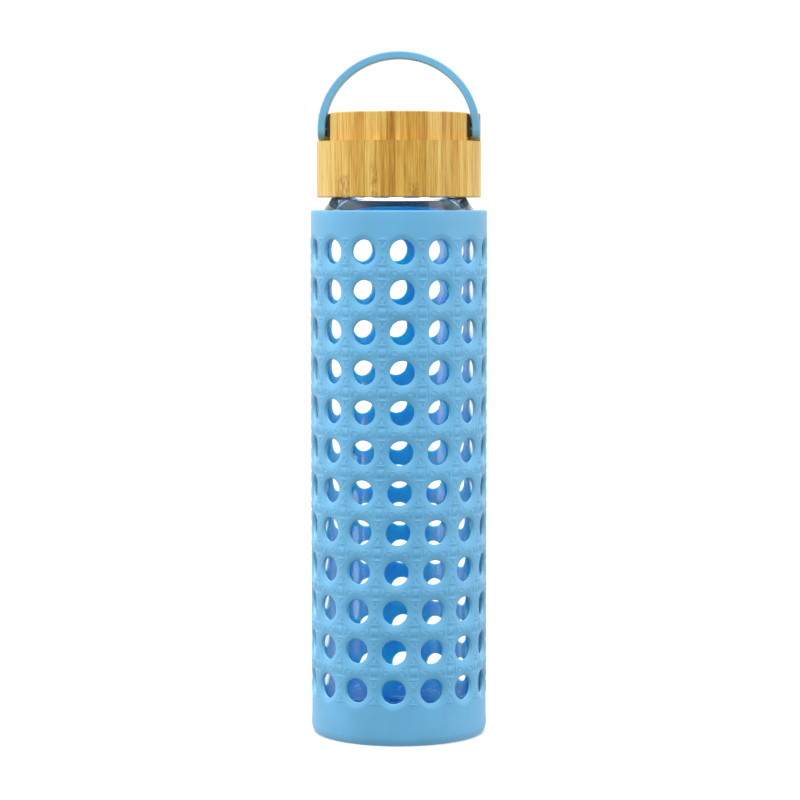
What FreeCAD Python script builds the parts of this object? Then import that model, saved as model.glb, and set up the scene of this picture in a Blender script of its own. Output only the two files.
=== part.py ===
"""Glass water bottle in a perforated silicone sleeve, with a bamboo screw lid and a folding strap handle.

Millimetres. The origin is the centre of the sleeve's underside, +Z points up the bottle, and -Y is the
front, the side that the handle folds down to.
"""

import FreeCAD
import Part
import math
import os

from FreeCAD import Vector

# Silicone sleeve
SLEEVE_RADIUS = 36.1
SLEEVE_WALL = 2.2
SLEEVE_FLOOR = 2.4
SLEEVE_TOP = 214.5
SLEEVE_FOOT_ROUND = 2.5
SLEEVE_RIM_ROUND = 0.6
HOLE_ROWS = 12
HOLE_COLUMNS = 14
HOLE_PITCH = 16.0
HOLE_RADIUS = 4.8
LOWEST_ROW = 22.0
STRAIGHT_ROWS = 4
TOP_PHASE = 4.5
BOTTOM_PHASE = -1.3

# Glass bottle
GLASS_GAP = 0.1
GLASS_RADIUS = SLEEVE_RADIUS - SLEEVE_WALL - GLASS_GAP
GLASS_WALL = 2.2
GLASS_BASE = 5.5
PUNT_DEPTH = 2.0
PUNT_RADIUS = 24.0
PUNT_SHARE = 0.75
HEEL_RADIUS = 4.0
INNER_HEEL_RADIUS = 7.0
SHOULDER_START = 206.5
SHOULDER_RADIUS = 11.5
SHOULDER_ANGLE = 34.0
NECK_RADIUS = 26.4
NECK_FILLET = 3.0
NECK_WALL = 2.8

# Inside of the shoulder: a curve and three cones, which leave the glass thick below the neck
INNER_CURVE_RADIUS = 6.0
LOWER_CONE_ANGLE = 42.0
LOWER_CONE_TOP = 213.0
MIDDLE_CONE_ANGLE = 17.0
MIDDLE_CONE_TOP = 217.4
INNER_NECK_START = 218.6

# Neck's rim
RIM_HEIGHT = 236.0
RIM_ROUND = 1.0

# Thread between glass and lid
THREAD_LEAD = 4.2333
THREAD_RIDGE = 1.15
THREAD_CLEARANCE = 0.4
GLASS_THREAD_START = 227.0
GLASS_THREAD_TURNS = 1.25
GLASS_RIDGE_BASE = 2.0
GLASS_RIDGE_CREST = 0.9
LID_THREAD_TURNS = 1.25
LID_RIDGE_BASE = 1.6
LID_RIDGE_CREST = 0.7
ROOT_OVERLAP = 0.3

# Gasket and threaded insert
GASKET_INNER = 22.4
GASKET_OUTER = 27.6
GASKET_THICKNESS = 1.6
INSERT_RADIUS = 29.9
INSERT_BOTTOM = 222.4
INSERT_CEILING = 1.8

# Bamboo lid
LID_RADIUS = 33.4
LID_BOTTOM = 219.7
LID_TOP = 253.9
TIER_HEIGHT = 242.3
RECESS_RADIUS = 28.1
RECESS_REAR = 4.0
LID_EDGE = 0.5

# Handle
PIVOT_HEIGHT = 247.0
PIVOT_Y = -0.6
HANDLE_OUTER_SPAN = 33.0
HANDLE_INNER_SPAN = 29.85
HANDLE_OUTER_RISE = 31.8
HANDLE_INNER_RISE = 28.7
HANDLE_WIDTH = 7.5
HANDLE_EDGE = 0.6

# Hinge plates, pins, washers and screws
PLATE_HALF_WIDTH = 3.6
PLATE_BOTTOM = 244.3
PLATE_TOP = 253.4
PLATE_BACK = 26.6
PLATE_DOME_TOP = 29.35
PLATE_DOME_RADIUS = 27.0
WASHER_RADIUS = 2.6
WASHER_OUTER_FACE = 29.68
WASHER_SEAT_DEPTH = 0.3
PIN_RADIUS = 1.5
PIN_HOLE_RADIUS = 1.55
PIN_TIP = 21.0
PIN_HEAD_RADIUS = 2.5
PIN_HEAD_HEIGHT = 0.8
PIN_HEAD_FACE = 32.75
PIN_POCKET_RADIUS = 2.6
PIN_POCKET_FLOOR = 31.9
SCREW_HEIGHT = 251.2
SCREW_RADIUS = 0.9
SCREW_HEAD_RADIUS = 1.7
SCREW_HEAD_FACE = 28.7
SCREW_HEAD_DEPTH = 1.0
SCREW_TIP = 18.0

# Sizes of cutters and selections
CUTTER_INSET = 1.0
CUTTER_LENGTH = 4.0
LONG_EDGE = 20.0
NEAR = 0.01
FAR = 100.0
Z_AXIS = Vector(0, 0, 1)
X_AXIS = Vector(1, 0, 0)
CENTRE = Vector(0, 0, 0)


def export(shape, name):
    """Write one sub-part to its own STEP file."""
    shape.exportStep(f"parts/{name}.step")
    print(f"{name}: {len(shape.Solids)} solid(s), volume {shape.Volume / 1000:.2f} cm3, valid {shape.isValid()}")


def line(start, end):
    """A straight edge in the XZ half plane."""
    return Part.LineSegment(Vector(start[0], 0, start[1]), Vector(end[0], 0, end[1])).toShape()


def arc(centre, radius, from_degrees, to_degrees):
    """An arc in the XZ half plane, with angles measured from +X towards +Z."""
    points = []
    for share in (0.0, 0.5, 1.0):
        angle = math.radians(from_degrees + share * (to_degrees - from_degrees))
        points.append(Vector(centre[0] + radius * math.cos(angle), 0, centre[1] + radius * math.sin(angle)))
    return Part.Arc(*points).toShape()


def turned(edges):
    """The solid turned about Z from a closed outline in the XZ half plane."""
    face = Part.Face(Part.Wire(edges))
    return face.revolve(CENTRE, Z_AXIS, 360)


def tube(outer, inner, bottom, top):
    """An upright ring."""
    ring = Part.makeCylinder(outer, top - bottom, Vector(0, 0, bottom))
    return ring.cut(Part.makeCylinder(inner, top - bottom, Vector(0, 0, bottom)))


def row_phase(row):
    """The angle, from -Y towards +X, of a hole row counted from the top: the sleeve is twisted lower down."""
    share = max(0.0, (row - STRAIGHT_ROWS + 1) / (HOLE_ROWS - STRAIGHT_ROWS))
    smooth = share * share * (3 - 2 * share)
    return TOP_PHASE + smooth * (BOTTOM_PHASE - TOP_PHASE)


def hole_cutter(angle, height):
    """One round hole through the sleeve wall."""
    outward = Vector(math.sin(angle), -math.cos(angle), 0)
    start = SLEEVE_RADIUS - SLEEVE_WALL - CUTTER_INSET
    return Part.makeCylinder(HOLE_RADIUS, CUTTER_LENGTH, Vector(0, 0, height) + outward * start, outward)


def silicone_sleeve():
    """The sleeve's cup, and the grid of holes through its wall."""
    inner = SLEEVE_RADIUS - SLEEVE_WALL
    foot = SLEEVE_FOOT_ROUND
    rim = SLEEVE_RIM_ROUND
    heel = HEEL_RADIUS + GLASS_GAP
    cup = turned([
        line((0, 0), (SLEEVE_RADIUS - foot, 0)),
        arc((SLEEVE_RADIUS - foot, foot), foot, -90, 0),
        line((SLEEVE_RADIUS, foot), (SLEEVE_RADIUS, SLEEVE_TOP - rim)),
        arc((SLEEVE_RADIUS - rim, SLEEVE_TOP - rim), rim, 0, 90),
        line((SLEEVE_RADIUS - rim, SLEEVE_TOP), (inner, SLEEVE_TOP)),
        line((inner, SLEEVE_TOP), (inner, SLEEVE_FLOOR + heel)),
        arc((inner - heel, SLEEVE_FLOOR + heel), heel, 0, -90),
        line((inner - heel, SLEEVE_FLOOR), (0, SLEEVE_FLOOR)),
        line((0, SLEEVE_FLOOR), (0, 0)),
    ])
    cutters = []
    for row in range(HOLE_ROWS):
        height = LOWEST_ROW + (HOLE_ROWS - 1 - row) * HOLE_PITCH
        for column in range(HOLE_COLUMNS):
            angle = math.radians(row_phase(row) + column * 360.0 / HOLE_COLUMNS)
            cutters.append(hole_cutter(angle, height))
    return cup.cut(Part.Compound(cutters))


def thread(radius, ridge, base_width, crest_width, start, turns):
    """A helical ridge; a negative ridge height makes an inward one. Its root sinks a little into the wall."""
    side = 1 if ridge > 0 else -1
    root = radius - side * ROOT_OVERLAP
    crest = radius + ridge
    helix = Part.makeHelix(THREAD_LEAD, THREAD_LEAD * turns, radius)
    outline = Part.makePolygon([
        Vector(root, 0, -base_width / 2),
        Vector(crest, 0, -crest_width / 2),
        Vector(crest, 0, crest_width / 2),
        Vector(root, 0, base_width / 2),
        Vector(root, 0, -base_width / 2),
    ])
    ridge_solid = Part.Wire(helix).makePipeShell([outline], True, True)
    ridge_solid.translate(Vector(0, 0, start))
    return ridge_solid


def cone_foot(top, angle, bottom_height):
    """The point below the top of a cone that widens downwards, at its angle from the vertical."""
    drop = top[1] - bottom_height
    return (top[0] + drop * math.tan(math.radians(angle)), bottom_height)


def glass_bottle():
    """The bottle, blown in one piece: thick base with a punt, straight body, shoulder, threaded neck."""
    angle = math.radians(SHOULDER_ANGLE)
    shoulder_end = (
        GLASS_RADIUS - SHOULDER_RADIUS * (1 - math.cos(angle)),
        SHOULDER_START + SHOULDER_RADIUS * math.sin(angle),
    )
    fillet_start_radius = NECK_RADIUS + NECK_FILLET * (1 - math.cos(angle))
    cone_rise = (shoulder_end[0] - fillet_start_radius) / math.tan(angle)
    fillet_start = (fillet_start_radius, shoulder_end[1] + cone_rise)
    fillet_height = fillet_start[1] + NECK_FILLET * math.sin(angle)
    bottom = SLEEVE_FLOOR
    inner_bottom = bottom + GLASS_BASE
    inner_body = GLASS_RADIUS - GLASS_WALL
    inner_neck = NECK_RADIUS - NECK_WALL
    inner_heel = INNER_HEEL_RADIUS
    neck_foot = (inner_neck, INNER_NECK_START)
    upper_foot = cone_foot(neck_foot, SHOULDER_ANGLE, MIDDLE_CONE_TOP)
    middle_foot = cone_foot(upper_foot, MIDDLE_CONE_ANGLE, LOWER_CONE_TOP)
    lower = math.radians(LOWER_CONE_ANGLE)
    curve_end_radius = inner_body - INNER_CURVE_RADIUS * (1 - math.cos(lower))
    curve_end_height = LOWER_CONE_TOP - (curve_end_radius - middle_foot[0]) / math.tan(lower)
    curve_end = (curve_end_radius, curve_end_height)
    curve_start = curve_end_height - INNER_CURVE_RADIUS * math.sin(lower)
    punt = Part.Arc(
        Vector(0, 0, bottom + PUNT_DEPTH),
        Vector(PUNT_RADIUS / 2, 0, bottom + PUNT_SHARE * PUNT_DEPTH),
        Vector(PUNT_RADIUS, 0, bottom),
    ).toShape()
    body = turned([
        punt,
        line((PUNT_RADIUS, bottom), (GLASS_RADIUS - HEEL_RADIUS, bottom)),
        arc((GLASS_RADIUS - HEEL_RADIUS, bottom + HEEL_RADIUS), HEEL_RADIUS, -90, 0),
        line((GLASS_RADIUS, bottom + HEEL_RADIUS), (GLASS_RADIUS, SHOULDER_START)),
        arc((GLASS_RADIUS - SHOULDER_RADIUS, SHOULDER_START), SHOULDER_RADIUS, 0, SHOULDER_ANGLE),
        line(shoulder_end, fillet_start),
        arc((NECK_RADIUS + NECK_FILLET, fillet_height), NECK_FILLET, 180 + SHOULDER_ANGLE, 180),
        line((NECK_RADIUS, fillet_height), (NECK_RADIUS, RIM_HEIGHT - RIM_ROUND)),
        arc((NECK_RADIUS - RIM_ROUND, RIM_HEIGHT - RIM_ROUND), RIM_ROUND, 0, 90),
        line((NECK_RADIUS - RIM_ROUND, RIM_HEIGHT), (inner_neck + RIM_ROUND, RIM_HEIGHT)),
        arc((inner_neck + RIM_ROUND, RIM_HEIGHT - RIM_ROUND), RIM_ROUND, 90, 180),
        line((inner_neck, RIM_HEIGHT - RIM_ROUND), neck_foot),
        line(neck_foot, upper_foot),
        line(upper_foot, middle_foot),
        line(middle_foot, curve_end),
        arc((inner_body - INNER_CURVE_RADIUS, curve_start), INNER_CURVE_RADIUS, LOWER_CONE_ANGLE, 0),
        line((inner_body, curve_start), (inner_body, inner_bottom + inner_heel)),
        arc((inner_body - inner_heel, inner_bottom + inner_heel), inner_heel, 0, -90),
        line((inner_body - inner_heel, inner_bottom), (0, inner_bottom)),
        line((0, inner_bottom), (0, bottom + PUNT_DEPTH)),
    ])
    ridge = thread(
        NECK_RADIUS,
        THREAD_RIDGE,
        GLASS_RIDGE_BASE,
        GLASS_RIDGE_CREST,
        GLASS_THREAD_START,
        GLASS_THREAD_TURNS,
    )
    return body.fuse(ridge)


def sealing_gasket():
    """The flat ring that the lid presses onto the glass rim."""
    return tube(GASKET_OUTER, GASKET_INNER, RIM_HEIGHT, RIM_HEIGHT + GASKET_THICKNESS)


def insert_top():
    """The height of the insert's upper face, under the wood."""
    return RIM_HEIGHT + GASKET_THICKNESS + INSERT_CEILING


def threaded_insert():
    """The plastic cap inside the bamboo: a ceiling over the gasket and a skirt with the inner thread."""
    skirt_inner = NECK_RADIUS + THREAD_RIDGE + THREAD_CLEARANCE
    ceiling = RIM_HEIGHT + GASKET_THICKNESS
    cap = Part.makeCylinder(INSERT_RADIUS, insert_top() - INSERT_BOTTOM, Vector(0, 0, INSERT_BOTTOM))
    cap = cap.cut(Part.makeCylinder(skirt_inner, ceiling - INSERT_BOTTOM, Vector(0, 0, INSERT_BOTTOM)))
    start = GLASS_THREAD_START - THREAD_LEAD / 2
    ridge = thread(skirt_inner, -THREAD_RIDGE, LID_RIDGE_BASE, LID_RIDGE_CREST, start, LID_THREAD_TURNS)
    return cap.fuse(ridge)


def plate(side):
    """A hinge plate whose domed face follows the inside of the handle."""
    block = Part.makeBox(
        PLATE_DOME_TOP - PLATE_BACK,
        2 * PLATE_HALF_WIDTH,
        PLATE_TOP - PLATE_BOTTOM,
        Vector(PLATE_BACK, -PLATE_HALF_WIDTH, PLATE_BOTTOM),
    )
    dome_centre = Vector(PLATE_DOME_TOP - PLATE_DOME_RADIUS, 0, PIVOT_HEIGHT)
    block = block.common(Part.makeSphere(PLATE_DOME_RADIUS, dome_centre))
    return facing(block, side)


def facing(shape, side):
    """A piece made at +X on the plane y = 0, mirrored to -X when side is -1, and moved to the pivot's plane."""
    piece = shape.mirror(CENTRE, X_AXIS) if side < 0 else shape.copy()
    piece.translate(Vector(0, PIVOT_Y, 0))
    return piece


def rod(radius, start, end, height=PIVOT_HEIGHT):
    """A cylinder along X at the pivot, or at another height."""
    return Part.makeCylinder(radius, end - start, Vector(start, 0, height), X_AXIS)


def pin(side):
    """A headed pin, pressed through the plate into the wood, that the handle turns on."""
    shank = rod(PIN_RADIUS, PIN_TIP, PIN_HEAD_FACE - PIN_HEAD_HEIGHT)
    head = rod(PIN_HEAD_RADIUS, PIN_HEAD_FACE - PIN_HEAD_HEIGHT, PIN_HEAD_FACE)
    return facing(shank.fuse(head), side)


def screw(side):
    """A countersunk wood screw above the pin."""
    shank = rod(SCREW_RADIUS, SCREW_TIP, SCREW_HEAD_FACE - SCREW_HEAD_DEPTH, SCREW_HEIGHT)
    head = Part.makeCone(
        SCREW_RADIUS,
        SCREW_HEAD_RADIUS,
        SCREW_HEAD_DEPTH,
        Vector(SCREW_HEAD_FACE - SCREW_HEAD_DEPTH, 0, SCREW_HEIGHT),
        X_AXIS,
    )
    return facing(shank.fuse(head), side)


def screw_pocket(side):
    """The countersink, open to the plate's face so that the screw goes in."""
    mouth = rod(SCREW_HEAD_RADIUS, SCREW_HEAD_FACE, PLATE_DOME_TOP, SCREW_HEIGHT)
    return screw(side).fuse(facing(mouth, side))


def washer(side):
    """A thin washer between the plate and the handle."""
    ring = rod(WASHER_RADIUS, PLATE_DOME_TOP, WASHER_OUTER_FACE)
    return facing(ring.cut(rod(PIN_RADIUS, PLATE_DOME_TOP, WASHER_OUTER_FACE)), side)


def washer_seat(side):
    """Spot-face on the plate's dome, so that the washer lies flat."""
    return facing(rod(WASHER_RADIUS, PLATE_DOME_TOP - WASHER_SEAT_DEPTH, PLATE_DOME_TOP), side)


def bamboo_lid():
    """One turned block with a recess round its front half, bored for the insert."""
    block = Part.makeCylinder(LID_RADIUS, LID_TOP - LID_BOTTOM, Vector(0, 0, LID_BOTTOM))
    front = Part.makeBox(2 * FAR, FAR, LID_TOP, Vector(-FAR, RECESS_REAR - FAR, TIER_HEIGHT))
    core = Part.makeCylinder(RECESS_RADIUS, LID_TOP, Vector(0, 0, TIER_HEIGHT))
    recess = front.cut(core)
    block = block.cut(recess)
    rounded = []
    for edge in block.Edges:
        heights = [vertex.Z for vertex in edge.Vertexes]
        at_top = all(abs(height - LID_TOP) < NEAR for height in heights)
        at_bottom = all(abs(height - LID_BOTTOM) < NEAR for height in heights)
        if at_top or at_bottom:
            rounded.append(edge)
    block = block.makeFillet(LID_EDGE, rounded)
    block = block.cut(Part.makeCylinder(INSERT_RADIUS, insert_top() - LID_BOTTOM, Vector(0, 0, LID_BOTTOM)))
    for side in (1, -1):
        block = block.cut(plate(side))
        block = block.cut(screw(side))
        block = block.cut(facing(rod(PIN_RADIUS, PIN_TIP, PLATE_DOME_TOP), side))
    return block


def handle():
    """An elliptical arch of flat strap, with feet rounded about the pivot."""
    half = HANDLE_WIDTH / 2
    solids = []
    for span, rise in ((HANDLE_OUTER_SPAN, HANDLE_OUTER_RISE), (HANDLE_INNER_SPAN, HANDLE_INNER_RISE)):
        ellipse = Part.Ellipse(CENTRE, span, rise)
        face = Part.Face(Part.Wire(ellipse.toShape()))
        disc = face.extrude(Vector(0, 0, HANDLE_WIDTH))
        disc.rotate(CENTRE, X_AXIS, 90)
        disc.translate(Vector(0, half, PIVOT_HEIGHT))
        upper = Part.makeBox(2 * FAR, HANDLE_WIDTH, FAR, Vector(-FAR, -half, PIVOT_HEIGHT))
        legs = Part.makeBox(2 * span, HANDLE_WIDTH, half, Vector(-span, -half, PIVOT_HEIGHT - half))
        solids.append(disc.common(upper).fuse(legs))
    strap = solids[0].cut(solids[1])
    above = Part.makeBox(2 * FAR, HANDLE_WIDTH, FAR, Vector(-FAR, -half, PIVOT_HEIGHT))
    feet = rod(half, -FAR, FAR)
    strap = strap.common(above.fuse(feet)).removeSplitter()
    strap = strap.makeFillet(HANDLE_EDGE, handle_long_edges(strap))
    strap.translate(Vector(0, PIVOT_Y, 0))
    for side in (1, -1):
        strap = strap.cut(facing(rod(PIN_HOLE_RADIUS, PLATE_DOME_TOP, FAR), side))
        strap = strap.cut(facing(rod(PIN_POCKET_RADIUS, PIN_POCKET_FLOOR, FAR), side))
    return strap


def handle_long_edges(strap):
    """The long edges of the strap, and those round its feet."""
    half = HANDLE_WIDTH / 2
    chosen = []
    for edge in strap.Edges:
        middle = edge.valueAt((edge.FirstParameter + edge.LastParameter) / 2)
        on_side = abs(abs(middle.y) - half) < NEAR
        if on_side and edge.Length > LONG_EDGE:
            chosen.append(edge)
    return chosen


def plates_cut(side):
    """The hinge plate with its pin hole, washer seat and countersink."""
    body = plate(side).cut(facing(rod(PIN_RADIUS, PLATE_BACK, PLATE_DOME_TOP), side))
    body = body.cut(washer_seat(side))
    return body.cut(screw_pocket(side))


def main():
    os.makedirs("parts", exist_ok=True)
    export(silicone_sleeve(), "silicone_sleeve")
    export(glass_bottle(), "glass_bottle")
    export(sealing_gasket(), "sealing_gasket")
    export(threaded_insert(), "threaded_insert")
    export(bamboo_lid(), "bamboo_lid")
    for side, name in ((1, "right"), (-1, "left")):
        export(plates_cut(side), f"hinge_plate_{name}")
        export(pin(side), f"pivot_pin_{name}")
    export(Part.Compound([screw(1), screw(-1)]), "hinge_plate_screws")
    export(Part.Compound([washer(1), washer(-1)]), "pin_washers")
    export(handle(), "handle")


main()
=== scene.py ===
"""Glass water bottle in a perforated silicone sleeve, with a bamboo screw lid and a strap handle.

Works in metres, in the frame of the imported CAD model: +Z up, -Y the front.
"""

import math

import bmesh
import bpy
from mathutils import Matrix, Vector
from mathutils.geometry import delaunay_2d_cdt


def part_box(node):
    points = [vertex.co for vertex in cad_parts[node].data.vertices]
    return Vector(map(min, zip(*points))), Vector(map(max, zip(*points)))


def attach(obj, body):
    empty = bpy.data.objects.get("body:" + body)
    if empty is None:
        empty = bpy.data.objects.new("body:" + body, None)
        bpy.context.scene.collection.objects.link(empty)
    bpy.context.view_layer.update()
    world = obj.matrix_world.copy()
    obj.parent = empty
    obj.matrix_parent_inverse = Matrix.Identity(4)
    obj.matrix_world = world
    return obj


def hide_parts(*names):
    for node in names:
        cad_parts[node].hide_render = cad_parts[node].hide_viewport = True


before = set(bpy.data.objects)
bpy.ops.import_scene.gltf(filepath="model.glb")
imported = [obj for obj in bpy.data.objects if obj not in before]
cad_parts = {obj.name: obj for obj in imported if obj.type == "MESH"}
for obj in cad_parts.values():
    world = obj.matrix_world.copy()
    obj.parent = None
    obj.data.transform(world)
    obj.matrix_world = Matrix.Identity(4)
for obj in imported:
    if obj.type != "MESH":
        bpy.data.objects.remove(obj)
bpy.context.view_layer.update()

MM = 0.001

# Camera, on the photographed side, a little to the right of the front: metres, degrees, and a lens in mm
CAMERA_DISTANCE = 1.073
CAMERA_HEIGHT = 0.2166
CAMERA_AZIMUTH = 2.2
CAMERA_TILT = 4.253
CAMERA_YAW = 0.024
CAMERA_LENS = 118.0
CAMERA_SENSOR = 36.0

# Sleeve, in millimetres: its walls and roundings
SLEEVE_WALL = 2.2
SLEEVE_FLOOR = 2.4
RIM_ROUND = 0.7
RIM_INNER_ROUND = 0.4
FOOT_ROUND = 2.5
FOOT_HEIGHT = 4.3
CUP_HEEL = 4.1

# Extra loops of points that keep its plain bands and its floor even
TOP_BAND_LOOP = 4.0
BOTTOM_BAND_LOOP = 6.0
UNDERSIDE_LOOP = 20.0
CUP_FLOOR_LOOP = 15.0

# Steps in each rounding
RIM_STEPS = 4
RIM_INNER_STEPS = 2
FOOT_STEPS = 8
HEEL_STEPS = 6

# The grid of holes, in millimetres. Below the straight rows the columns' angle, in degrees, drifts
ROWS = 12
COLUMNS = 14
ROW_PITCH = 16.0
LOWEST_ROW = 22.0
STRAIGHT_ROWS = 4
TOP_PHASE = 4.5
BOTTOM_PHASE = -1.3

# One hole, in millimetres: its dish as (radius, height), from the face down, and its flare at the inside
HOLE_RADIUS = 4.95
LIP = [(6.9, 0.0), (6.6, -0.1), (6.0, -0.3), (5.5, -0.46), (5.15, -0.64), (HOLE_RADIUS, -0.9)]
HOLE_FLARE = 0.15
FLARE_DEPTH = 0.3

# Ornament, in millimetres: a square between four holes, and a bar and a teardrop on each arm from it
RELIEF = 0.17
RELIEF_BEVEL = 0.2
SQUARE_HALF = 1.4
BAR_START = 2.75
BAR_END = 3.3
BAR_HALF = 1.45
DROP_START = 3.75
DROP_END = 7.0
DROP_HALF = 1.0
DROP_BLUNTNESS = 0.62
DROP_START_GROWTH = 0.6
DROP_END_GROWTH = 1.6

# How finely the sleeve is meshed, and points that break up long triangles between hole and ornament
ARC_STEPS = 8
DROP_STEPS = 7
ACROSS_STEPS = 6
UP_STEPS = 4
GROUND_POINTS = [(5.3, 5.3), (6.0, 6.0), (7.6, 2.4), (2.4, 7.5), (6.6, 3.6), (3.6, 6.6)]
INNER_CLEARANCE = 0.4
TOLERANCE = 1e-4
WELD_DISTANCE = 0.000002

# The sleeve's kinds of face, which are its material slots too
OUTSIDE, INSIDE, HOLE_WALL = range(3)

# The angle in degrees above which an edge stays sharp
SHARP_ON_PIECES = 35
SHARP_ON_SLEEVE = 50

# Colours
SLEEVE_BLUE = (0.13, 0.415, 0.67)
HANDLE_BLUE = (0.145, 0.42, 0.68)
# The sleeve's inside is the same silicone in a brighter, more saturated blue: a painted glow that stands in
# for light shining through it
INNER_PAINTED_GLOW_BLUE = (0.01, 0.80, 0.995)
# The holes' walls are the same silicone in a lighter blue: painted light that makes them look lit through
# the silicone
HOLE_WALL_PAINTED_LIGHT_BLUE = (0.32, 0.70, 0.95)
GASKET_GREY = (0.78, 0.79, 0.78)
INSERT_WHITE = (0.80, 0.80, 0.77)
HINGE_BLACK = (0.010, 0.014, 0.025)
PIN_GREY = (0.62, 0.63, 0.65)
NODE_BROWN = (0.36, 0.17, 0.035)
BAMBOO_TONES = [
    (0.0, (0.26, 0.115, 0.012)),
    (0.25, (0.44, 0.215, 0.026)),
    (0.5, (0.57, 0.325, 0.052)),
    (0.75, (0.67, 0.435, 0.098)),
    (1.0, (0.76, 0.56, 0.18)),
]

# Bamboo strips: their width, where the first one starts, and how light each one is
STRIP_WIDTH = 0.0061
STRIP_START = -0.0368
STRIP_TONES = [0.8, 0.76, 0.60, 0.50, 0.74, 0.38, 0.58, 0.42, 0.62, 0.48, 0.68, 0.8]

# Bamboo's darker nodes: centre in X and Z, and half width and half height
NODE_MARKS = [
    (-0.0216, 0.2232, 0.0032, 0.0062),
    (-0.0085, 0.2262, 0.0016, 0.0085),
    (0.0075, 0.2218, 0.0030, 0.0040),
]

# The most that a node darkens the wood, and the shade across one strip, which dips at its seams
NODE_DARKEST = 0.75
SEAM_SHADES = [(0.0, 0.78), (0.04, 1.0), (0.97, 1.0), (1.0, 0.86)]

# Bamboo's fibres, from broad to hair-thin: noise scale, detail, roughness, distortion and weight
FIBRES = [
    (330.0, 3.0, 0.6, 0.3, 0.42),
    (1500.0, 3.0, 0.7, 0.0, 0.38),
    (4200.0, 2.0, 0.6, 0.0, 0.2),
]

# How much they change the tone, how slowly they change along Z, and how each strip's differ from the next
FIBRE_CONTRAST = 3.2
FIBRE_DRAW = 0.035
STRIP_SHIFT = 0.37

# The world as a tent of light: its strength at the front, at the sides and from below, and where each
# changes over, as the direction's Y and Z. It leans a little to the left
TENT_FRONT = 0.18
TENT_SIDE = 1.35
TENT_BELOW = 0.62
FRONT_EDGE = (-0.97, -0.3)
BELOW_EDGE = (-0.25, 0.05)
LEFTWARD = 0.10

# The world's strength as seen by the camera and through glass, and the share that glossy rays see.
# The limit on bounces was found by trial: at 0.5 the glass turns grey
SEEN_DIRECTLY = 1.05
SEEN_THROUGH_GLASS = 1.4
MIRRORED = 0.8
BOUNCE_LIMIT = 1.5

# Area lights: place, what they point at, width and height, and power
MIDDLE = (0.0, 0.0, 0.13)
LIGHTS = {
    "top_soft": ((0.0, 0.2, 1.6), (0.0, 0.0, 0.0), (1.6, 1.6), 14.0),
    "front_soft": ((-0.3, -1.6, 1.45), MIDDLE, (1.2, 1.2), 20.0),
    "side_left": ((-0.75, -0.3, 0.85), (0.0, 0.0, 0.22), (0.5, 0.5), 2.2),
    "side_right": ((1.5, -0.5, 0.4), MIDDLE, (0.8, 1.3), 7.0),
}
FLOOR_REACH = 12.0

# ---------------------------------------------------------------- small helpers

def new_mesh_object(name, vertices, faces):
    mesh = bpy.data.meshes.new(name)
    mesh.from_pydata(vertices, [], faces)
    obj = bpy.data.objects.new(name, mesh)
    bpy.context.scene.collection.objects.link(obj)
    return obj


def weld(mesh, distance):
    """Joins vertices that rounding left apart."""
    work = bmesh.new()
    work.from_mesh(mesh)
    bmesh.ops.remove_doubles(work, verts=work.verts, dist=distance)
    work.to_mesh(mesh)
    work.free()


def smoothstep(low, high, value):
    share = min(1.0, max(0.0, (value - low) / (high - low)))
    return share * share * (3 - 2 * share)


# ---------------------------------------------------------------- materials

class Nodes:
    """A short way to build one material's node tree."""

    def __init__(self, name):
        self.material = bpy.data.materials.new(name)
        self.material.use_nodes = True
        self.tree = self.material.node_tree
        self.shader = self.tree.nodes["Principled BSDF"]

    def add(self, kind, **settings):
        node = self.tree.nodes.new(kind)
        for key, value in settings.items():
            setattr(node, key, value)
        return node

    def link(self, source, target):
        self.tree.links.new(source, target)

    def set(self, **values):
        for key, value in values.items():
            self.shader.inputs[key.replace("_", " ")].default_value = value

    def position(self):
        return self.add("ShaderNodeTexCoord").outputs["Object"]

    def scaled(self, vector, scale):
        node = self.add("ShaderNodeVectorMath", operation="MULTIPLY")
        self.link(vector, node.inputs[0])
        node.inputs[1].default_value = scale
        return node.outputs["Vector"]

    def noise(self, vector, scale, detail=2.0, roughness=0.5, distortion=0.0):
        node = self.add("ShaderNodeTexNoise")
        self.link(vector, node.inputs["Vector"])
        node.inputs["Scale"].default_value = scale
        node.inputs["Detail"].default_value = detail
        node.inputs["Roughness"].default_value = roughness
        node.inputs["Distortion"].default_value = distortion
        return node.outputs["Fac"]

    def ramp(self, fac, stops, interpolation="LINEAR"):
        """A colour ramp from stops (place, colour), where one number stands for a grey."""
        node = self.add("ShaderNodeValToRGB")
        node.color_ramp.interpolation = interpolation
        elements = node.color_ramp.elements
        while len(elements) < len(stops):
            elements.new(0.5)
        for element, (place, colour) in zip(elements, stops):
            if isinstance(colour, float):
                colour = (colour,) * 3
            element.position = place
            element.color = (*colour, 1.0)
        self.link(fac, node.inputs["Fac"])
        return node.outputs["Color"]

    def math(self, operation, first, second=None):
        node = self.add("ShaderNodeMath", operation=operation)
        for index, value in enumerate((first, second)):
            if value is None:
                continue
            if isinstance(value, (int, float)):
                node.inputs[index].default_value = value
            else:
                self.link(value, node.inputs[index])
        return node.outputs[0]

    def mix(self, fac, first, second, blend="MIX"):
        node = self.add("ShaderNodeMix", data_type="RGBA", blend_type=blend)
        for socket, value in ((node.inputs[0], fac), (node.inputs[6], first), (node.inputs[7], second)):
            if isinstance(value, (int, float)):
                socket.default_value = value
            elif isinstance(value, tuple):
                socket.default_value = (*value, 1.0)
            else:
                self.link(value, socket)
        return node.outputs[2]

    def bump(self, height, distance, strength=1.0):
        node = self.add("ShaderNodeBump")
        node.inputs["Strength"].default_value = strength
        node.inputs["Distance"].default_value = distance
        self.link(height, node.inputs["Height"])
        self.link(node.outputs["Normal"], self.shader.inputs["Normal"])


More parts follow.
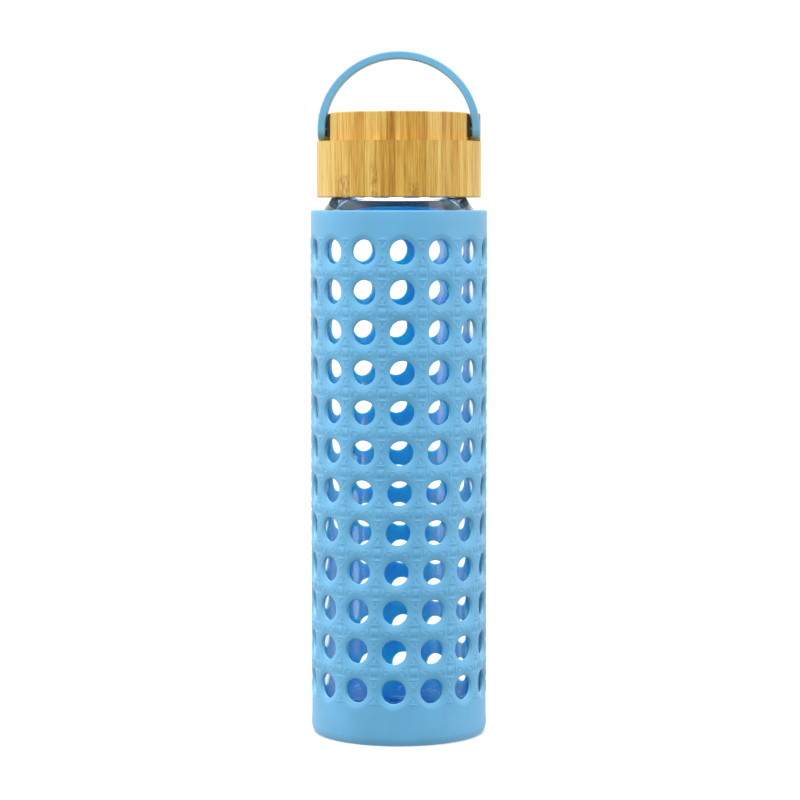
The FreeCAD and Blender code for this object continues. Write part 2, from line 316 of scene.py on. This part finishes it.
def soft_silicone(name, colour, roughness, subsurface=0.0, depth=0.0008,
                  specular=0.35, sheen=0.15, grain=0.3):
    """Matt moulded silicone: fine surface grain and a faint mottle."""
    n = Nodes(name)
    place = n.position()
    mottle = n.noise(place, 60.0, 3.0)
    darker = tuple(0.95 * c for c in colour)
    lighter = tuple(min(1.0, 1.04 * c) for c in colour)
    n.link(n.ramp(mottle, [(0.35, darker), (0.65, lighter)]), n.shader.inputs["Base Color"])
    rough = n.ramp(mottle, [(0.3, roughness - 0.05), (0.7, roughness + 0.06)])
    n.link(rough, n.shader.inputs["Roughness"])
    n.bump(n.noise(place, 2600.0, 2.0), 0.00002, grain)
    n.set(Subsurface_Weight=subsurface, Subsurface_Radius=(0.3, 1.3, 5.0), Subsurface_Scale=depth)
    n.set(Specular_IOR_Level=specular, Sheen_Weight=sheen, Sheen_Roughness=0.5)
    return n.material


def clear_glass():
    """Nearly clear glass with a few slightly duller patches."""
    n = Nodes("clear_glass")
    place = n.position()
    rough = n.ramp(n.noise(place, 45.0, 2.0), [(0.45, 0.0), (0.75, 0.02)])
    n.link(rough, n.shader.inputs["Roughness"])
    n.set(Base_Color=(0.985, 0.995, 1.0, 1.0), IOR=1.47, Transmission_Weight=1.0)
    return n.material


def bamboo():
    """Laminated bamboo: flat strips side by side along X, fibres along Z, and faint node marks."""
    n = Nodes("bamboo_wood")
    place = n.position()
    split = n.add("ShaderNodeSeparateXYZ")
    n.link(place, split.inputs[0])
    x, z = split.outputs["X"], split.outputs["Z"]
    count = len(STRIP_TONES)
    across = n.math("DIVIDE", n.math("SUBTRACT", x, STRIP_START), STRIP_WIDTH * count)
    tones = [(i / count, value) for i, value in enumerate(STRIP_TONES)]
    strip_value = n.ramp(across, tones, "CONSTANT")
    strip_number = n.math("FLOOR", n.math("MULTIPLY", across, float(count)))
    shifted = n.add("ShaderNodeCombineXYZ")
    n.link(x, shifted.inputs[0])
    n.link(split.outputs["Y"], shifted.inputs[1])
    drawn_out = n.math("MULTIPLY", z, FIBRE_DRAW)
    n.link(n.math("ADD", drawn_out, n.math("MULTIPLY", strip_number, STRIP_SHIFT)), shifted.inputs[2])
    fibre = 0.0
    for scale, detail, roughness, distortion, weight in FIBRES:
        layer = n.noise(shifted.outputs[0], scale, detail, roughness, distortion)
        fibre = n.math("ADD", fibre, n.math("MULTIPLY", layer, weight))
    contrast = n.math("MULTIPLY", n.math("SUBTRACT", fibre, 0.5), FIBRE_CONTRAST)
    colour = n.ramp(n.math("ADD", strip_value, contrast), BAMBOO_TONES)
    seam = n.math("FRACT", n.math("MULTIPLY", across, float(count)))
    colour = n.mix(1.0, colour, n.ramp(seam, SEAM_SHADES), "MULTIPLY")
    flecks = n.noise(n.scaled(place, (1.0, 1.0, 0.22)), 1700.0, 3.0, 0.7)
    fleck_dark = n.ramp(flecks, [(0.44, 1.0), (0.56, 0.0)])
    for centre_x, centre_z, half_wide, half_high in NODE_MARKS:
        wide = n.math("DIVIDE", n.math("ABSOLUTE", n.math("SUBTRACT", x, centre_x)), half_wide)
        high = n.math("DIVIDE", n.math("ABSOLUTE", n.math("SUBTRACT", z, centre_z)), half_high)
        near = n.math("SUBTRACT", 1.0, n.math("MAXIMUM", wide, high))
        near = n.math("MAXIMUM", n.math("MULTIPLY", near, 2.0), 0.0)
        near = n.math("MINIMUM", near, NODE_DARKEST)
        colour = n.mix(n.math("MULTIPLY", near, fleck_dark), colour, NODE_BROWN)
    n.link(colour, n.shader.inputs["Base Color"])
    n.link(n.ramp(fibre, [(0.3, 0.52), (0.7, 0.42)]), n.shader.inputs["Roughness"])
    n.bump(fibre, 0.00008, 0.6)
    n.set(Specular_IOR_Level=0.35)
    return n.material


def plastic(name, colour, roughness):
    """Moulded plastic with a fine grain and a faint mottle."""
    n = Nodes(name)
    place = n.position()
    cloud = n.noise(place, 90.0, 2.0)
    darker = tuple(0.92 * c for c in colour)
    n.link(n.ramp(cloud, [(0.35, darker), (0.65, colour)]), n.shader.inputs["Base Color"])
    rough = n.ramp(cloud, [(0.3, roughness - 0.04), (0.7, roughness + 0.06)])
    n.link(rough, n.shader.inputs["Roughness"])
    n.bump(n.noise(place, 1500.0, 2.0), 0.00003, 0.4)
    return n.material


def steel(name, colour, roughness):
    """Brushed steel."""
    n = Nodes(name)
    place = n.scaled(n.position(), (1.0, 0.2, 1.0))
    brushed = n.noise(place, 3000.0, 2.0)
    darker = tuple(0.85 * c for c in colour)
    n.link(n.ramp(brushed, [(0.3, darker), (0.7, colour)]), n.shader.inputs["Base Color"])
    rough = n.ramp(brushed, [(0.3, roughness), (0.7, roughness + 0.15)])
    n.link(rough, n.shader.inputs["Roughness"])
    n.set(Metallic=1.0)
    return n.material


# ---------------------------------------------------------------- silicone sleeve

def drop_outline(grow):
    """Points (across, along) of a half teardrop beside its arm, from its blunt end to its tip."""
    start = DROP_START - grow * DROP_START_GROWTH
    end = DROP_END + grow * DROP_END_GROWTH
    points = []
    for step in range(DROP_STEPS + 1):
        share = step / DROP_STEPS
        wide = DROP_HALF * math.sin(math.pi * share ** DROP_BLUNTNESS)
        if 0 < step < DROP_STEPS:
            wide += grow
        points.append((max(0.0, wide), start + share * (end - start)))
    return points


def bar_outline(grow):
    """Points (across, along) of a half bar beside its arm."""
    wide = BAR_HALF + grow
    start, end = BAR_START - grow, BAR_END + grow
    return [(0.0, start), (wide, start), (wide, end), (0.0, end)]


def exact(x, y):
    """A point whose ends of arcs lie truly on the axes, so that no sliver forms beside them."""
    return Vector((round(x, 9), round(y, 9)))


def quarter_arc(radius, stretch=1.0):
    """Points of a quarter round about 0, 0, stretched along X."""
    points = []
    for step in range(ARC_STEPS + 1):
        angle = step * math.pi / 2 / ARC_STEPS
        points.append((radius * math.cos(angle) * stretch, radius * math.sin(angle)))
    return points


def outside_hole(triangles, radii, hole):
    """The triangles that don't have all their corners on the hole's own ring."""
    return [tuple(corners) for corners in triangles if max(radii[c] for c in corners) > hole + TOLERANCE]


def outer_quarter(half_x, half_y, edge_row):
    """Vertices (x, y, height) and triangles of one quarter of a cell, hole centre at 0, 0.

    The outer half of an edge row has no square, and only the upright arm.
    """
    points, edges, heights = [], [], []

    def path(items, height=None):
        """Adds points joined in a line, at a height or on the ground between the shapes."""
        first = len(points)
        for item in items:
            points.append(exact(*item))
            heights.append(height)
        for i in range(first, len(points) - 1):
            edges.append((i, i + 1))

    for radius, height in LIP:
        path(quarter_arc(radius), height)
    for grow, height in ((0.0, RELIEF), (RELIEF_BEVEL, 0.0)):
        outlines = [bar_outline(grow), drop_outline(grow)]
        if not edge_row:
            side = SQUARE_HALF + grow
            path([(half_x - side, half_y), (half_x - side, half_y - side), (half_x, half_y - side)], height)
        for outline in outlines:
            path([(half_x - across, half_y - along) for across, along in outline], height)
        if not edge_row:
            for outline in outlines:
                path([(half_x - along, half_y - across) for across, along in outline], height)
    path([(half_x * i / ACROSS_STEPS, half_y) for i in range(ACROSS_STEPS + 1)])
    path([(half_x, half_y * i / UP_STEPS) for i in range(UP_STEPS + 1)])
    dish = LIP[0][0]
    beside_dish = [(dish + (half_x - dish) * i / UP_STEPS, 0.0) for i in range(UP_STEPS + 1)]
    for point in beside_dish + GROUND_POINTS:
        path([point])
    made, _, triangles, origins, _, _ = delaunay_2d_cdt(points, edges, [], 0, TOLERANCE)
    vertices = []
    for place, sources in zip(made, origins):
        known = [heights[s] for s in sources if s < len(heights) and heights[s] is not None]
        vertices.append((place.x, place.y, max(known, key=abs) if known else 0.0))
    return vertices, outside_hole(triangles, [place.length for place in made], HOLE_RADIUS)


def inner_quarter(half_x, half_y, stretch):
    """Vertices (x, y) and triangles of the plain inside of a cell's quarter, with only the hole."""
    radius = HOLE_RADIUS + HOLE_FLARE
    points = [exact(x, y) for x, y in quarter_arc(radius, stretch)]
    edges = [(i, i + 1) for i in range(ARC_STEPS)]
    for i in range(ACROSS_STEPS + 1):
        for j in range(UP_STEPS + 1):
            if 0 < i < ACROSS_STEPS and 0 < j < UP_STEPS and (i + j) % 2:
                continue
            x, y = half_x * i / ACROSS_STEPS, half_y * j / UP_STEPS
            if math.hypot(x / stretch, y) > radius + INNER_CLEARANCE:
                points.append(exact(x, y))
    made, _, triangles, _, _, _ = delaunay_2d_cdt(points, edges, [], 0, TOLERANCE)
    keep = outside_hole(triangles, [math.hypot(p.x / stretch, p.y) for p in made], radius)
    return [(p.x, p.y) for p in made], keep


class Sleeve:
    """The sleeve's mesh in millimetres, built from quarters of each hole's cell."""

    def __init__(self):
        low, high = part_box("silicone_sleeve")
        self.radius = high.x / MM
        self.top = high.z / MM
        self.face = self.radius - RELIEF
        self.inner = self.radius - SLEEVE_WALL
        self.half_x = math.pi * self.radius / COLUMNS
        self.half_y = ROW_PITCH / 2
        self.top_row = LOWEST_ROW + (ROWS - 1) * ROW_PITCH
        self.vertices = []
        self.faces = []
        self.index = {}
        self.kind = OUTSIDE
        self.face_kinds = []

        self.full = outer_quarter(self.half_x, self.half_y, False)
        self.edge = outer_quarter(self.half_x, self.half_y, True)
        self.lining = inner_quarter(self.half_x, self.half_y, self.radius / self.inner)
        lip_height = LIP[-1][1]
        flare = self.inner + FLARE_DEPTH
        self.hole_rings = [
            (HOLE_RADIUS, self.face + lip_height, self.widening(lip_height)),
            (HOLE_RADIUS, flare, self.radius / flare),
            (HOLE_RADIUS + HOLE_FLARE, self.inner, self.radius / self.inner),
        ]

    def phase(self, z):
        """The column's angle from -Y in degrees at a height: the sleeve sits twisted lower down."""
        last_straight = self.top_row - (STRAIGHT_ROWS - 1) * ROW_PITCH
        share = smoothstep(0.0, 1.0, (last_straight - z) / (last_straight - LOWEST_ROW))
        return TOP_PHASE + share * (BOTTOM_PHASE - TOP_PHASE)

    def widening(self, height):
        """How much wider an angle a length takes up when it lies below the face."""
        return self.radius / (self.radius + height) if height < 0 else 1.0

    def vertex(self, angle, radius, z):
        """The number of the vertex at this place, made once."""
        x = radius * math.sin(angle)
        y = -radius * math.cos(angle)
        key = (round(x, 3), round(y, 3), round(z, 3))
        if key not in self.index:
            self.index[key] = len(self.vertices)
            self.vertices.append((x * MM, y * MM, z * MM))
        return self.index[key]

    def add(self, corners, flip):
        """A face, unless its corners fall together."""
        corners = list(dict.fromkeys(corners))
        if len(corners) > 2:
            self.faces.append(corners[::-1] if flip else corners)
            self.face_kinds.append(self.kind)

    def add_quarter(self, row, column, side, rise):
        """One quarter of a cell: side and rise are 1 or -1, and mirror it across and up."""
        flip = side * rise < 0
        centre = self.top_row - row * ROW_PITCH

        def place(x, y, radius, widen=1.0):
            z = centre + rise * y
            turn = math.radians(self.phase(z)) + 2 * math.pi * column / COLUMNS
            return self.vertex(turn + side * x * widen / self.radius, radius, z)

        outermost = (row == 0 and rise > 0) or (row == ROWS - 1 and rise < 0)
        points, triangles = self.edge if outermost else self.full
        numbers = [place(x, y, self.face + height, self.widening(height)) for x, y, height in points]
        self.kind = OUTSIDE
        for corners in triangles:
            self.add([numbers[c] for c in corners], flip)

        points, triangles = self.lining
        numbers = [place(x, y, self.inner) for x, y in points]
        self.kind = INSIDE
        for corners in triangles:
            self.add([numbers[c] for c in corners], not flip)

        rings = [[place(x, y, radius, widen) for x, y in quarter_arc(hole)]
                 for hole, radius, widen in self.hole_rings]
        self.kind = HOLE_WALL
        for outer, nearer in zip(rings, rings[1:]):
            for a in range(ARC_STEPS):
                self.add([outer[a], outer[a + 1], nearer[a + 1], nearer[a]], flip)

    def add_band(self, profile, flip, kind):
        """A profile (radius, z) turned once round, from the edge of the holes' cells."""
        steps = 2 * ACROSS_STEPS * COLUMNS
        start = math.radians(self.phase(profile[0][1]))
        angles = [start + 2 * math.pi * (i - ACROSS_STEPS) / steps for i in range(steps)]
        self.kind = kind
        for (r1, z1), (r2, z2) in zip(profile, profile[1:]):
            for a, b in zip(angles, angles[1:] + angles[:1]):
                corners = [self.vertex(a, r1, z1), self.vertex(b, r1, z1)]
                corners += [self.vertex(b, r2, z2), self.vertex(a, r2, z2)]
                self.add(corners, flip)


def profile_arc(centre_r, centre_z, radius, start, end, steps, height=None):
    """Points (radius, z) of a round between two angles, or of an ellipse of its own height."""
    points = []
    for i in range(steps + 1):
        angle = math.radians(start + (end - start) * i / steps)
        points.append((centre_r + radius * math.cos(angle), centre_z + (height or radius) * math.sin(angle)))
    return points


def add_bands(s):
    """The plain bands above and below the holes, the rim, the foot, and the cup's inside."""
    upper = s.top_row + s.half_y
    lower = LOWEST_ROW - s.half_y

    top = [(s.face, upper), (s.face, upper + TOP_BAND_LOOP)]
    top += profile_arc(s.face - RIM_ROUND, s.top - RIM_ROUND, RIM_ROUND, 0, 90, RIM_STEPS)
    inner_round = RIM_INNER_ROUND
    top += profile_arc(s.inner + inner_round, s.top - inner_round, inner_round, 90, 180, RIM_INNER_STEPS)
    top += [(s.inner, upper)]
    s.add_band(top, False, OUTSIDE)

    bottom = [(s.face, lower), (s.face, lower - BOTTOM_BAND_LOOP)]
    foot_centre = s.radius - FOOT_ROUND
    bottom += profile_arc(foot_centre, FOOT_HEIGHT, FOOT_ROUND, 0, -90, FOOT_STEPS, FOOT_HEIGHT)[1:]
    bottom += [(UNDERSIDE_LOOP, 0.0), (0.0, 0.0)]
    s.add_band(bottom, True, OUTSIDE)

    cup = [(s.inner, lower)]
    cup += profile_arc(s.inner - CUP_HEEL, SLEEVE_FLOOR + CUP_HEEL, CUP_HEEL, 0, -90, HEEL_STEPS)
    cup += [(CUP_FLOOR_LOOP, SLEEVE_FLOOR), (0.0, SLEEVE_FLOOR)]
    s.add_band(cup, False, INSIDE)


def build_sleeve(materials):
    """The whole sleeve, with one material for each kind of face."""
    s = Sleeve()
    for row in range(ROWS):
        for column in range(COLUMNS):
            for side in (1, -1):
                for rise in (1, -1):
                    s.add_quarter(row, column, side, rise)
    add_bands(s)
    obj = new_mesh_object("silicone_sleeve_skin", s.vertices, s.faces)
    for material in materials:
        obj.data.materials.append(material)
    for polygon, kind in zip(obj.data.polygons, s.face_kinds):
        polygon.material_index = kind
    weld(obj.data, WELD_DISTANCE)
    return obj


# ---------------------------------------------------------------- assembling

def smooth(obj, sharp):
    for polygon in obj.data.polygons:
        polygon.use_smooth = True
    obj.data.set_sharp_from_angle(angle=math.radians(sharp))


def finish_piece(obj, material):
    obj.data.materials.clear()
    obj.data.materials.append(material)
    smooth(obj, SHARP_ON_PIECES)


def add_sleeve():
    """The detailed sleeve, in place of its CAD node."""
    face = soft_silicone("sleeve_silicone", SLEEVE_BLUE, 0.5, subsurface=0.05)
    # A second copy of the silicone for the inside, in its own bluer colour: a painted glow of light through
    # the silicone
    inner = soft_silicone("sleeve_silicone_inner_painted_glow", INNER_PAINTED_GLOW_BLUE, 0.6, subsurface=1.0, depth=0.002,
                          specular=0.05, sheen=0.0)
    # A third copy of the silicone for the hole walls, lighter than the face: painted light on the hole walls
    hole_wall_painted_light = soft_silicone("sleeve_silicone_wall_painted_light", HOLE_WALL_PAINTED_LIGHT_BLUE, 0.5)
    sleeve = build_sleeve([face, inner, hole_wall_painted_light])
    smooth(sleeve, SHARP_ON_SLEEVE)
    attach(sleeve, "bottle")
    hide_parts("silicone_sleeve")
    return sleeve


def finish_cad_pieces():
    """A material for every CAD node that is shown as it is."""
    materials = {
        "glass_bottle": clear_glass(),
        "sealing_gasket": soft_silicone("gasket_silicone", GASKET_GREY, 0.45, subsurface=0.2, depth=0.001),
        "threaded_insert": plastic("insert_plastic", INSERT_WHITE, 0.4),
        "bamboo_lid": bamboo(),
        "handle": soft_silicone("handle_silicone", HANDLE_BLUE, 0.42, grain=0.08),
    }
    black = plastic("hinge_black", HINGE_BLACK, 0.5)
    for name in ("hinge_plate_left", "hinge_plate_right", "pin_washers"):
        materials[name] = black
    pin_metal = steel("pin_steel", PIN_GREY, 0.25)
    for name in ("pivot_pin_left", "pivot_pin_right", "hinge_plate_screws"):
        materials[name] = pin_metal
    for name, material in materials.items():
        finish_piece(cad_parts[name], material)


# ---------------------------------------------------------------- floor, light and camera

def stage_material():
    n = Nodes("studio_white")
    cloud = n.noise(n.position(), 3.0)
    n.link(n.ramp(cloud, [(0.3, 0.93), (0.7, 0.95)]), n.shader.inputs["Base Color"])
    n.set(Roughness=0.7)
    return n.material


def make_floor():
    """A wide white floor that gives the object no bounced light or reflection."""
    corners = [(x * FLOOR_REACH, y * FLOOR_REACH, 0.0) for x, y in ((-1, -1), (1, -1), (1, 1), (-1, 1))]
    floor = new_mesh_object("studio_floor", corners, [(0, 1, 2, 3)])
    floor.visible_glossy = False
    floor.visible_diffuse = False
    floor.visible_transmission = False
    finish_piece(floor, stage_material())


def area_light(name, place, target, size, power):
    data = bpy.data.lights.new(name, "AREA")
    data.shape = "RECTANGLE"
    data.size, data.size_y = size
    data.energy = power
    light = bpy.data.objects.new(name, data)
    bpy.context.scene.collection.objects.link(light)
    light.location = place
    light.rotation_euler = (Vector(target) - Vector(place)).to_track_quat("-Z", "Y").to_euler()


def make_world():
    """White to the camera; as a light it is a bright tent, darker on the front side."""
    world = bpy.data.worlds.new("studio_world")
    bpy.context.scene.world = world
    world.use_nodes = True
    tree = world.node_tree
    background = tree.nodes["Background"]

    def value(operation, first, second):
        node = tree.nodes.new("ShaderNodeMath")
        node.operation = operation
        for socket, item in zip(node.inputs, (first, second)):
            if isinstance(item, float):
                socket.default_value = item
            else:
                tree.links.new(item, socket)
        return node.outputs[0]

    def changeover(source, edge, start, end, interpolation):
        """A value that goes from start to end while the source crosses the edge."""
        node = tree.nodes.new("ShaderNodeMapRange")
        node.interpolation_type = interpolation
        tree.links.new(source, node.inputs["Value"])
        for name, number in zip(("From Min", "From Max", "To Min", "To Max"), (*edge, start, end)):
            node.inputs[name].default_value = number
        return node.outputs[0]

    direction = tree.nodes.new("ShaderNodeSeparateXYZ")
    tree.links.new(tree.nodes.new("ShaderNodeTexCoord").outputs["Generated"], direction.inputs[0])
    front = changeover(direction.outputs["Y"], FRONT_EDGE, TENT_FRONT, TENT_SIDE, "SMOOTHSTEP")
    below = changeover(direction.outputs["Z"], BELOW_EDGE, TENT_BELOW, 1.0, "LINEAR")
    tent = value("MULTIPLY", front, below)
    lean = value("SUBTRACT", 1.0, value("MULTIPLY", direction.outputs["X"], LEFTWARD))
    tent = value("MULTIPLY", tent, lean)

    path = tree.nodes.new("ShaderNodeLightPath")
    dimming = value("MULTIPLY", path.outputs["Is Glossy Ray"], 1.0 - MIRRORED)
    tent = value("MULTIPLY", tent, value("SUBTRACT", 1.0, dimming))

    camera = path.outputs["Is Camera Ray"]
    bounces = value("SUBTRACT", path.outputs["Ray Depth"], path.outputs["Transmission Depth"])
    few_bounces = value("LESS_THAN", bounces, BOUNCE_LIMIT)
    through = value("MULTIPLY", path.outputs["Is Transmission Ray"], few_bounces)
    plain = value("SUBTRACT", 1.0, value("MAXIMUM", camera, through))
    strength = value("ADD", value("MULTIPLY", tent, plain), value("MULTIPLY", camera, SEEN_DIRECTLY))
    strength = value("ADD", strength, value("MULTIPLY", through, SEEN_THROUGH_GLASS))
    tree.links.new(strength, background.inputs["Strength"])
    background.inputs["Color"].default_value = (1.0, 1.0, 1.0, 1.0)


def make_camera():
    data = bpy.data.cameras.new("camera")
    data.lens = CAMERA_LENS
    data.sensor_width = CAMERA_SENSOR
    camera = bpy.data.objects.new("camera", data)
    bpy.context.scene.collection.objects.link(camera)
    azimuth = math.radians(CAMERA_AZIMUTH)
    across, back = CAMERA_DISTANCE * math.sin(azimuth), CAMERA_DISTANCE * math.cos(azimuth)
    camera.location = (across, -back, CAMERA_HEIGHT)
    heading = azimuth - math.radians(CAMERA_YAW)
    camera.rotation_euler = (math.radians(90 - CAMERA_TILT), 0.0, heading)
    bpy.context.scene.camera = camera


sleeve = add_sleeve()
finish_cad_pieces()
make_floor()
make_world()
for light_name, light_settings in LIGHTS.items():
    area_light(light_name, *light_settings)
make_camera()
bpy.context.scene.view_settings.view_transform = "Standard"
